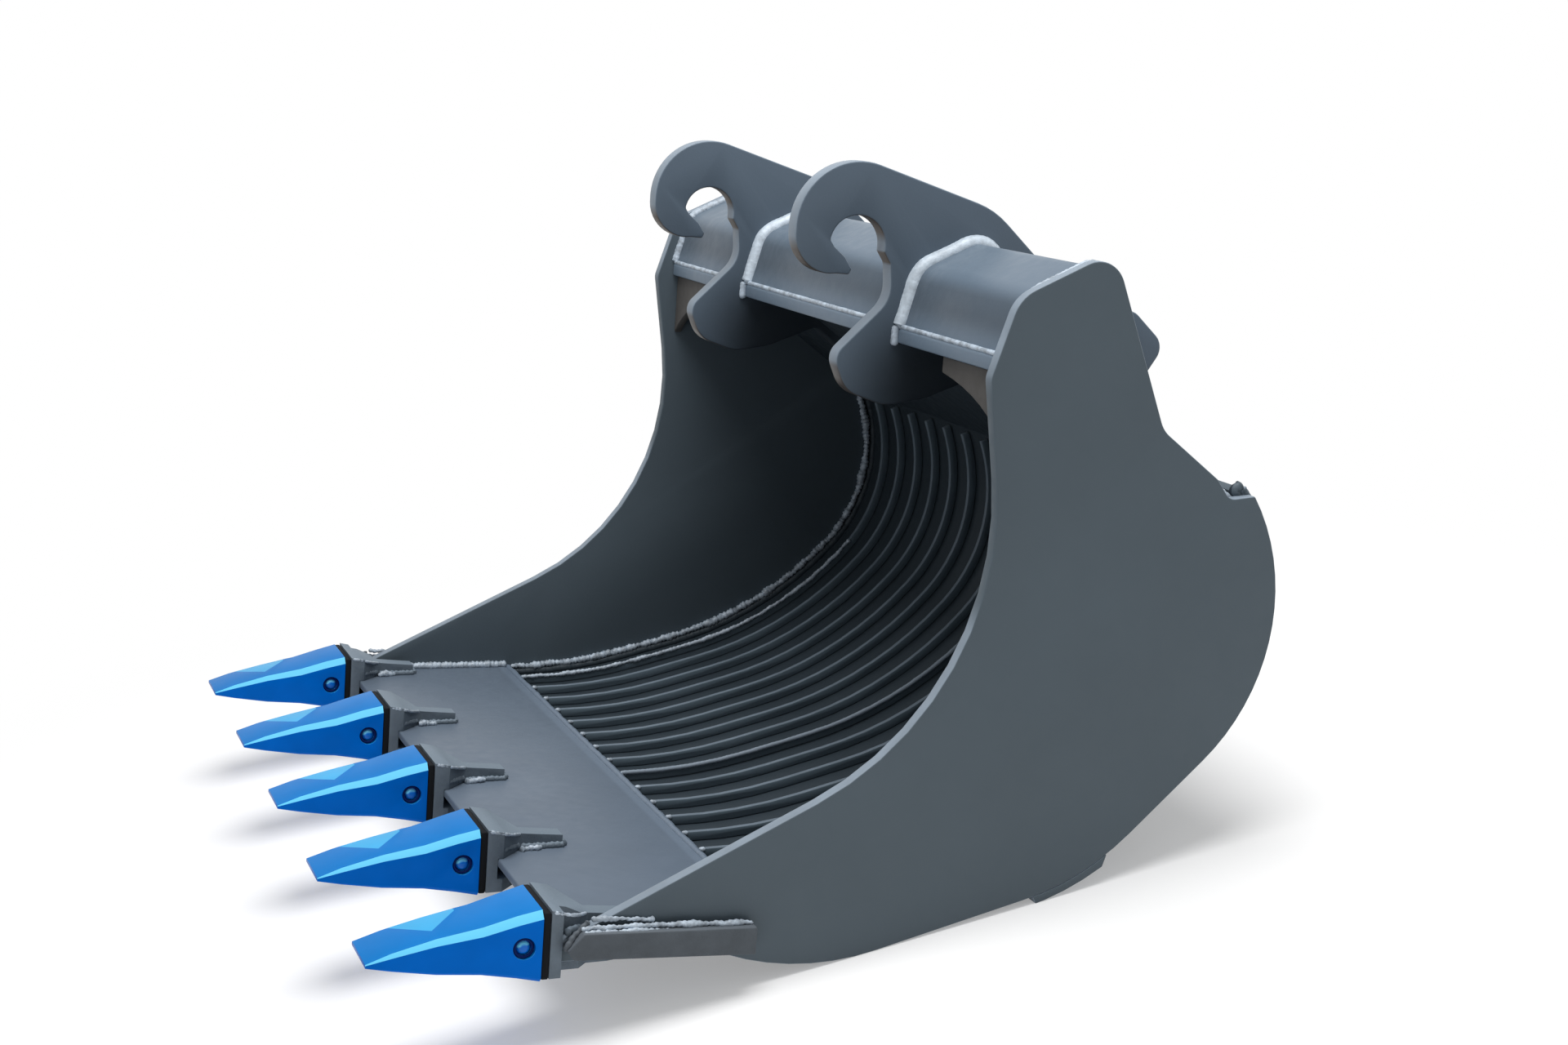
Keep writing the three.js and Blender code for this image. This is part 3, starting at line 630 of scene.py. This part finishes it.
def material(look):
    """The material of a look, made once from the settings."""
    if look not in MADE:
        MADE[look] = LOOKS[look](finish())
    return MADE[look]


# ---- the bucket's pieces ----
BAYS = ("left", "middle", "right")
HANDS = ("left", "right")
TOOTH_COUNT = sum(1 for name in NODES if name.startswith("tooth_pin_"))
RIB_COUNT = sum(1 for name in NODES if name.startswith("rib_"))


class BUCKET_OT_shell(bpy.types.Operator):
    """Finishes the rolled shell, the back plate, the beam floors, the ribs and the cutting lip"""

    bl_idname = "bucket.shell"
    bl_label = "Shell, ribs and lip"

    def execute(self, context):
        edge = sizes().plate_edge
        for node in ["rolled_shell", "back_plate"] + ["beam_floor_" + bay for bay in BAYS]:
            plate(node, "inside", "shell_paint", edge)
        for node in sorted(n for n in NODES if n.startswith("rib_")):
            plate(node, "rib", "shell_paint", edge)
        plate("cutting_lip", "lip", "lip_paint", edge)
        return {"FINISHED"}


class BUCKET_OT_side_plates(bpy.types.Operator):
    """Finishes the two side plates with their edges rounded"""

    bl_idname = "bucket.side_plates"
    bl_label = "Side plates"

    def execute(self, context):
        for hand in HANDS:
            plate("side_plate_" + hand, "side", "side_paint", sizes().plate_edge, segments=3)
        return {"FINISHED"}


class BUCKET_OT_beam(bpy.types.Operator):
    """Finishes the beam's covers and flanges, the lock plate and the corner gussets"""

    bl_idname = "bucket.beam"
    bl_label = "Beam"

    def execute(self, context):
        edge = sizes().plate_edge
        for bay in BAYS:
            plate("beam_cover_" + bay, "beam", "beam_paint", edge)
            plate("beam_flange_" + bay, "beam", "beam_paint", edge, segments=3)
        plate("lock_plate", "beam", "beam_paint", edge)
        for hand in HANDS:
            plate("gusset_" + hand, "gusset", "side_paint", edge)
        return {"FINISHED"}


class BUCKET_OT_hangers(bpy.types.Operator):
    """Finishes the two hanger plates with their hooks"""

    bl_idname = "bucket.hangers"
    bl_label = "Hangers"

    def execute(self, context):
        for hand in HANDS:
            plate("hanger_" + hand, "hanger", "beam_paint", sizes().hanger_rim, segments=3)
        return {"FINISHED"}


class BUCKET_OT_wear_parts(bpy.types.Operator):
    """Finishes the side wear bars and the heel pads"""

    bl_idname = "bucket.wear_parts"
    bl_label = "Wear parts"

    def execute(self, context):
        for hand in HANDS:
            plate("side_wear_bar_" + hand, "bar", "adapter_paint", sizes().plate_edge, segments=3)
            plate("heel_pad_" + hand, "side", "side_paint", sizes().plate_edge)
        return {"FINISHED"}


class BUCKET_OT_adapters(bpy.types.Operator):
    """Finishes the cast adapters"""

    bl_idname = "bucket.adapters"
    bl_label = "Adapters"

    def execute(self, context):
        for i in range(1, TOOTH_COUNT + 1):
            plate(f"adapter_{i}", "cast", "adapter_paint", sizes().plate_edge)
        return {"FINISHED"}


# Sizes in metres, and places as forward and up in millimetres.
PIN_DOME = 0.007  # rounding of a tooth pin's ends
PIN_RING_RADIUS = 0.0098
PIN_RING_THICKNESS = 0.0016  # half of it, as a torus has it
PIN_RING_DEPTH = 0.0022  # in from the pin's end
SEAL_AT = (423.5, -725)
SEAL_SIZE = (0.0082, 0.0915, 0.074)
SEAL_WALL = 0.007
SEAL_EDGE = 0.002
FLAT_AT = (547, -715.6)  # a point of the flat on a tooth, pale as a painted reflection
FLAT_SLOPE = math.radians(13.6)  # down to the tip, from the lip's level
FLAT_ROLL = math.radians(2)  # down to the right
FLAT_BLOCK = (0.086, 0.12, 0.02)  # the block that cuts it


class BUCKET_OT_teeth(bpy.types.Operator):
    """Finishes the teeth with their flats, pale as a painted reflection, the domed pins with their rings,
    and the seals behind
    """

    bl_idname = "bucket.teeth"
    bl_label = "Teeth and pins"

    def execute(self, context):
        for i in range(1, TOOTH_COUNT + 1):
            y = middle(f"tooth_pin_{i}").y * 1000
            tooth = merged_copy(f"tooth_{i}", f"tooth_{i}_finished")
            foot, up = self.flat(tooth, y)
            round_edges(tooth, sizes().tooth_edge, 3)
            dress(tooth, "tooth", "bucket", "tooth_paint", f"tooth_{i}", smooth=40)
            # The flat's faces take the pale enamel, a painted reflection.
            tooth.data.materials.append(material("flat_glint"))
            for face in tooth.data.polygons:
                if abs((face.center - foot).dot(up)) < SAME_PLANE and face.normal.dot(up) > 0.999:
                    face.material_index = 1
            pin = merged_copy(f"tooth_pin_{i}", f"tooth_pin_{i}_domed")
            round_edges(pin, PIN_DOME, 8)
            dress(pin, "pin", f"pin_{i}", "pin_steel", f"tooth_pin_{i}")
            plate(f"pin_retainer_{i}", "seal", "retainer_steel", sizes().plate_edge / 2)
            self.seal(i, y)
            self.pin_rings(i)
        return {"FINISHED"}

    def flat(self, tooth, y):
        """Cuts the flat on the outer half of the upper face, pale as a painted reflection. Gives a point of its
        plane and its normal.
        """
        deselect()
        turn = Euler((FLAT_ROLL, FLAT_SLOPE - BACK_TILT, 0))
        up = turn.to_matrix() @ Vector((0, 0, 1))
        foot = at(FLAT_AT[0], y, FLAT_AT[1])
        bpy.ops.mesh.primitive_cube_add(size=1, location=foot + up * FLAT_BLOCK[2] / 2)
        block = bpy.context.object
        block.scale = FLAT_BLOCK
        block.rotation_euler = turn
        apply_modifier(tooth, "BOOLEAN", "flat", object=block, operation="DIFFERENCE", solver="EXACT")
        bpy.data.objects.remove(block)
        return foot, up

    def pin_rings(self, i):
        """The rubber rings that lock the pin's two ends in their recesses, and stay there without it. Their dark
        stands in for the painted shade of the recesses.
        """
        pin = middle(f"tooth_pin_{i}")
        low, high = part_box(f"tooth_pin_{i}")
        for side, end in (("right", low.y + PIN_RING_DEPTH), ("left", high.y - PIN_RING_DEPTH)):
            deselect()
            bpy.ops.mesh.primitive_torus_add(
                location=(pin.x, end, pin.z),
                rotation=(math.radians(90), 0, 0),
                major_radius=PIN_RING_RADIUS,
                minor_radius=PIN_RING_THICKNESS,
                major_segments=40,
                minor_segments=10,
            )
            ring = bpy.context.object
            ring.name = f"pin_ring_{i}_{side}"
            bpy.ops.object.transform_apply(location=True, rotation=True, scale=True)
            dress(ring, "pin_ring", "bucket", "retainer_steel", smooth=60)

    def seal(self, i, y):
        """The square rubber ring between a tooth and its adapter's collar. Near-black, it stands in for the painted
        shade of the gap.
        """
        deselect()
        place = at(SEAL_AT[0], y, SEAL_AT[1])
        bpy.ops.mesh.primitive_cube_add(size=1, location=place, rotation=(0, -BACK_TILT, 0), scale=SEAL_SIZE)
        ring = bpy.context.object
        ring.name = f"tooth_seal_{i}"
        bpy.ops.object.transform_apply(location=True, rotation=True, scale=True)
        forward = way(1, 0, 0)
        bpy.ops.object.mode_set(mode="EDIT")
        bpy.ops.mesh.select_all(action="DESELECT")
        bpy.ops.mesh.select_mode(type="FACE")
        bpy.ops.object.mode_set(mode="OBJECT")
        for face in ring.data.polygons:
            face.select = abs(face.normal.dot(forward)) > 0.9
        bpy.ops.object.mode_set(mode="EDIT")
        bpy.ops.mesh.inset(thickness=SEAL_WALL, use_individual=True)
        bpy.ops.mesh.bridge_edge_loops()
        bpy.ops.mesh.select_all(action="SELECT")
        bpy.ops.mesh.normals_make_consistent(inside=False)
        bpy.ops.object.mode_set(mode="OBJECT")
        round_edges(ring, SEAL_EDGE, 2, math.radians(60))
        dress(ring, "seal", "bucket", "retainer_steel")


# ---- the weld runs' places ----
# Where an outline is followed from, where to, and a place on the way, each as forward and up.
COVER_RUN = ((-64, -94), (-252, -172), (-173, 28))
RIB_RUN = ((158, -721), (-395, -284), (-180, -590))
SHELL_INNER_RUN = ((160, -733), (-378, -240), (-190, -606))
SHELL_OUTER_RUN = ((160, -745), (-378, -230), (-240, -640))


def hand_sign(hand):
    return 1 if hand == "left" else -1


def faces_of(node):
    """The y of a node's two end faces in millimetres, the one nearer the bucket's middle first."""
    low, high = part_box(node)
    return sorted((low.y * 1000, high.y * 1000), key=abs)


def path(*places):
    """Points of the row's frame, from places given as forward, across and up."""
    return [at(*place) for place in places]


def beside(across, sign, *places):
    """The same, from places given as forward, out from a line and up, to its left or right by the sign."""
    return [at(forward, across + sign * out, up) for forward, out, up in places]


def across_node(node, forward, up):
    """A straight path over a node's whole width."""
    low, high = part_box(node)
    return path((forward, low.y * 1000, up), (forward, high.y * 1000, up))


class BUCKET_OT_beam_welds(bpy.types.Operator):
    """Lays the weld runs round the beam's covers, flanges and hangers, and down the back plate"""

    bl_idname = "bucket.beam_welds"
    bl_label = "Beam welds"

    def execute(self, context):
        s = sizes()
        main, sides, feet = [], [], []
        for bay in BAYS:
            for left in (True, False):
                run = stretch(outline("beam_cover_" + bay, left), *COVER_RUN)
                at_side_plate = bay != "middle" and left == (bay == "left")
                (sides if at_side_plate else main).append(run)
            feet.append(across_node("beam_cover_" + bay, -63.4, -93.4))
        bead("weld_covers_to_hangers", main, s.main_weld, "main_weld", "beam_paint", seed=3, rough=0.04, lumps=0.06)
        bead("weld_covers_to_sides", sides, s.seam_weld * 1.4, "weld", "beam_paint", seed=4, lumps=0.1)
        bead("weld_cover_feet", feet, s.small_weld, "weld", "beam_paint", seed=6, rough=0.08, lumps=0.1)
        toes, backs, locks = [], [], []
        for hand in HANDS:
            inner, outer = faces_of("hanger_" + hand)
            for y in faces_of("hanger_" + hand):
                toes.append(path((-57, y, -92), (-57, y, -116)))
                toes.append(path((-58, y, -93), (-72, y, -91)))
            wall = faces_of("side_plate_" + hand)[0]
            backs.append(beside(wall, -hand_sign(hand), (-257, 2, -172), (-384, 2, -264)))
            for y in (inner, outer):
                backs.append(path((-256, y, -172), (-292, y, -198)))
            locks.append(path((-399, inner, -105), (-386, inner, -80), (-370, inner, -74)))
            locks.append(path((-397, inner, -107), (-383, inner, -113), (-368, inner, -80)))
        bead("weld_flange_to_hangers", toes, s.seam_weld, "weld", "beam_paint", seed=8)
        bead("weld_back_plate", backs, s.seam_weld, "weld", "beam_paint", seed=10)
        bead("weld_lock_plate", locks, s.seam_weld * 0.9, "weld", "beam_paint", seed=14)
        seams = [across_node("beam_cover_" + bay, -254, -171) for bay in BAYS]
        seams.append(across_node("back_plate", -387, -266))
        bead("weld_back_seams", seams, s.small_weld, "side", "beam_paint", seed=16)
        return {"FINISHED"}


class BUCKET_OT_shell_welds(bpy.types.Operator):
    """Lays the runs that join the shell, the lip and the ribs, to each other and to the side plates"""

    bl_idname = "bucket.shell_welds"
    bl_label = "Shell and lip welds"

    def execute(self, context):
        s = sizes()
        top_of_rib = stretch(outline("rib_1", True), *RIB_RUN)
        inner = stretch(outline("rolled_shell", True), *SHELL_INNER_RUN)
        outer = stretch(outline("rolled_shell", True), *SHELL_OUTER_RUN)
        roots, caps, outsides, lip_ends = [], [], [], []
        for hand in HANDS:
            sign = hand_sign(hand)
            wall = faces_of("side_plate_" + hand)[0]
            roots.append([point + way(0, 0, 0.003) for point in self.moved(inner, wall / 1000 - sign * 0.003)])
            caps.append(self.moved(top_of_rib, wall / 1000 - sign * 0.003))
            outsides.append(self.moved(outer, wall / 1000 - sign * 0.002))
            lip_ends.append(beside(wall, -sign, (330, 3, -718), (168, 3, -718)))
        bead("weld_shell_root", roots, s.seam_weld * 1.3, "inside", "shell_paint", seed=5)
        bead("weld_shell_cap", caps, s.seam_weld * 0.95, "weld", "shell_paint", seed=7, rough=0.6, lumps=0.6)
        bead("weld_shell_outside", outsides, s.seam_weld, "side", "shell_paint", seed=9)
        outer_ribs = [self.lower_part(top_of_rib, rib, 0.55) for rib in ("rib_1", f"rib_{RIB_COUNT}")]
        middle_rib = [self.lower_part(top_of_rib, f"rib_{(RIB_COUNT + 1) // 2}", 0.7)]
        bead("weld_outer_ribs", outer_ribs, s.small_weld, "weld", "shell_paint", seed=11, rough=0.5, lumps=0.5)
        # The middle rib's run is painted pale, as a painted highlight.
        bead("weld_middle_rib", middle_rib, s.small_weld, "rib_line", "shell_paint", seed=12, lumps=0.1)
        bead("weld_lip_ends", lip_ends, s.seam_weld * 1.15, "weld", "lip_paint", seed=13, rough=0.45)
        end = faces_of("cutting_lip")[1]
        lip_rear = [path((165, -end, -723), (165, end, -723))]
        bead("weld_lip_rear", lip_rear, s.small_weld * 1.5, "lip", "lip_paint", seed=15)
        dots = []
        for i in range(1, RIB_COUNT + 1):
            y = middle(f"rib_{i}").y * 1000
            dots.append(beside(y, 1, (161, 3, -722), (157, 3, -722), (153, 3, -722)))
        bead("weld_rib_ends", dots, s.small_weld, "weld", "lip_paint", seed=17)
        return {"FINISHED"}

    def moved(self, points, y):
        """The points of an outline, all moved to one place across the bucket."""
        return [Vector((point.x, y, point.z)) for point in points]

    def lower_part(self, top_of_rib, rib, share):
        """The first part of a rib's top line, from the lip, in a given share of its points."""
        return self.moved(top_of_rib[: round(len(top_of_rib) * share)], middle(rib).y + 0.004)


class BUCKET_OT_wear_welds(bpy.types.Operator):
    """Lays the runs on the side bars and round the adapters' straps"""

    bl_idname = "bucket.wear_welds"
    bl_label = "Side bar and adapter welds"

    def execute(self, context):
        s = sizes()
        bars, tips = [], []
        for hand in HANDS:
            wall, sign = faces_of("side_plate_" + hand)[1], hand_sign(hand)
            bars.append(beside(wall, sign, (388, 9, -706), (300, 9, -707), (195, 9, -711)))
            bars.append(beside(wall, sign, (386, 13, -710), (330, 13, -711), (290, 12, -712)))
            bars.append(beside(wall, sign, (376, 3, -698), (340, 3, -700), (305, 3, -703)))
            tips.append(beside(wall, sign, (406, 14, -727), (396, 10, -714), (378, 4, -700)))
        bead("weld_side_bars", bars, s.small_weld, "weld", "adapter_paint", seed=21, rough=0.5, lumps=0.7)
        bead("weld_side_bar_tips", tips, s.small_weld, "bar", "adapter_paint", seed=22, rough=0.5, lumps=0.5)
        straps, blobs, rims = [], [], []
        for i in range(1, TOOTH_COUNT + 1):
            y = middle(f"tooth_pin_{i}").y * 1000
            for side in (1, -1):
                straps.append(beside(y, side, (372, 13, -719), (345, 14, -719), (318, 13, -719)))
                straps.append(beside(y, side, (374, 15, -716), (388, 30, -713), (402, 43, -712)))
                blobs.append(beside(y, side, (374, 22, -718), (348, 19, -718)))
            straps.append(beside(y, 1, (318, -12, -719), (318, 12, -719)))
            rims.append(beside(y, 1, (417, 45, -688), (398, 44, -692), (386, 33, -697), (372, 13, -703)))
        bead("weld_straps", straps, s.seam_weld * 0.8, "cast", "adapter_paint", seed=23, rough=0.5)
        bead("weld_strap_blobs", blobs, s.seam_weld * 0.8, "weld", "adapter_paint", seed=25, rough=0.6, lumps=0.8)
        bead("weld_adapter_rims", rims, s.small_weld * 0.6, "weld", "adapter_paint", seed=27, rough=0.5)
        return {"FINISHED"}


# ---- stage ----
CAMERA_AT = (1098.0, 2792.3, 163.1)  # forward, across and up, in millimetres
CAMERA_RIGHT = (-0.92619, 0.36932, 0.07600)  # the way its picture's right side lies
CAMERA_DOWN = (0.0, 0.20157, -0.97947)  # and its lower side
CAMERA_LENS = 53.33
CAMERA_SHIFT = (-0.00714, 0.01208)
LAMP_AT = (500, 500, 2500)  # forward, across and up, in millimetres
LAMP_AIM = (60, 0, -450)
LAMP_SIZE = 2.4  # metres across
LAMP_POWER = 105  # watts
SKY_STRENGTH = 0.42
SHADED_TO = 0.75  # metres from the object's middle within which the floor takes its shadow
WHITE_FROM = 1.5  # metres from which it is plain white
WHITE_NEAR = 0.3  # how much of the shaded floor is plain white, so the shadow is faint


def shown_share(tree):
    """1 for the camera's and glossy rays, which see the backdrop as plain white, and 0 for those that light."""
    rays = add(tree, "ShaderNodeLightPath")
    kinds = {0: rays.outputs["Is Camera Ray"], 1: rays.outputs["Is Glossy Ray"]}
    return add(tree, "ShaderNodeMath", kinds, operation="MAXIMUM").outputs["Value"]


class BUCKET_OT_stage(bpy.types.Operator):
    """Sets the pale floor, the soft studio light and the camera"""

    bl_idname = "bucket.stage"
    bl_label = "Floor, light and camera"

    def execute(self, context):
        context.scene.view_settings.view_transform = "Standard"
        self.camera(context.scene)
        self.floor()
        self.sky(context.scene)
        self.softbox("overhead_softbox", at(*LAMP_AT), at(*LAMP_AIM))
        return {"FINISHED"}

    def camera(self, scene):
        data = bpy.data.cameras.new("studio camera")
        data.lens = CAMERA_LENS
        data.shift_x, data.shift_y = CAMERA_SHIFT
        data.clip_end = 100
        camera = bpy.data.objects.new("studio_camera", data)
        scene.collection.objects.link(camera)
        right = way(*CAMERA_RIGHT).normalized()
        up = -way(*CAMERA_DOWN)
        up = (up - right * up.dot(right)).normalized()
        back = right.cross(up)
        camera.matrix_world = Matrix.Translation(at(*CAMERA_AT)) @ Matrix((right, up, back)).transposed().to_4x4()
        scene.camera = camera

    def floor(self):
        """Matt white near the object, where it takes the object's shadow, and plain white further out."""
        deselect()
        bpy.ops.mesh.primitive_plane_add(size=60, location=(0, 0, 0))
        floor = bpy.context.object
        floor.name = "studio_floor"
        paint, tree, out, place = new_material("matt white floor paint")
        matt = add(tree, "ShaderNodeBsdfDiffuse", {"Color": finish().backdrop})
        white = add(tree, "ShaderNodeEmission", {"Color": finish().backdrop, "Strength": 1.0})
        away = add(tree, "ShaderNodeVectorMath", {0: place}, operation="LENGTH").outputs["Value"]
        clear = add(
            tree,
            "ShaderNodeMapRange",
            {"Value": away, "From Min": SHADED_TO, "From Max": WHITE_FROM, "To Min": WHITE_NEAR, "To Max": 1.0},
            interpolation_type="SMOOTHSTEP",
        )
        factors = {0: shown_share(tree), 1: clear.outputs["Result"]}
        share = add(tree, "ShaderNodeMath", factors, operation="MULTIPLY").outputs["Value"]
        mixed = add(
            tree, "ShaderNodeMixShader", {0: share, 1: matt.outputs["BSDF"], 2: white.outputs["Emission"]}
        )
        tree.links.new(mixed.outputs["Shader"], out.inputs["Surface"])
        floor.data.materials.append(paint)

    def sky(self, scene):
        """An even sky that lights the object at a lower strength than it is seen at."""
        world = bpy.data.worlds.new("studio")
        scene.world = world
        world.use_nodes = True
        tree = world.node_tree
        tree.nodes.clear()
        lamp = add(tree, "ShaderNodeBackground", {"Color": (1, 1, 1, 1), "Strength": SKY_STRENGTH})
        shown = add(tree, "ShaderNodeBackground", {"Color": (1, 1, 1, 1), "Strength": 1.0})
        lights = {0: shown_share(tree), 1: lamp.outputs["Background"], 2: shown.outputs["Background"]}
        mixed = add(tree, "ShaderNodeMixShader", lights)
        add(tree, "ShaderNodeOutputWorld", {"Surface": mixed.outputs["Shader"]})

    def softbox(self, name, place, target):
        lamp = bpy.data.lights.new(name, "AREA")
        lamp.shape = "DISK"
        lamp.size = LAMP_SIZE
        lamp.energy = LAMP_POWER
        obj = bpy.data.objects.new(name, lamp)
        bpy.context.scene.collection.objects.link(obj)
        obj.location = place
        obj.rotation_euler = (target - place).to_track_quat("-Z", "Y").to_euler()


class BUCKET_PT_panel(bpy.types.Panel):
    """The bucket's steps, sizes and colours"""

    bl_label = "Excavator bucket"
    bl_idname = "BUCKET_PT_panel"
    bl_space_type = "VIEW_3D"
    bl_region_type = "UI"
    bl_category = "Bucket"

    def draw(self, context):
        for step in STEPS:
            self.layout.operator(step.bl_idname)
        for group in (context.scene.bucket_finish, context.scene.bucket_sizes):
            for key in group.__annotations__:
                self.layout.prop(group, key)


STEPS = (
    BUCKET_OT_stage,
    BUCKET_OT_shell,
    BUCKET_OT_side_plates,
    BUCKET_OT_beam,
    BUCKET_OT_hangers,
    BUCKET_OT_wear_parts,
    BUCKET_OT_adapters,
    BUCKET_OT_teeth,
    BUCKET_OT_beam_welds,
    BUCKET_OT_shell_welds,
    BUCKET_OT_wear_welds,
)
CLASSES = (BUCKET_PG_finish, BUCKET_PG_sizes) + STEPS + (BUCKET_PT_panel,)


def register():
    for cls in CLASSES:
        bpy.utils.register_class(cls)
    bpy.types.Scene.bucket_finish = bpy.props.PointerProperty(type=BUCKET_PG_finish)
    bpy.types.Scene.bucket_sizes = bpy.props.PointerProperty(type=BUCKET_PG_sizes)


def unregister():
    del bpy.types.Scene.bucket_sizes
    del bpy.types.Scene.bucket_finish
    for cls in reversed(CLASSES):
        bpy.utils.unregister_class(cls)


def main():
    register()
    for step in STEPS:
        family, name = step.bl_idname.split(".")
        if getattr(getattr(bpy.ops, family), name)() != {"FINISHED"}:
            raise RuntimeError("step failed: " + step.bl_label)
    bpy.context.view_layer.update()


if __name__ == "__main__":
    main()
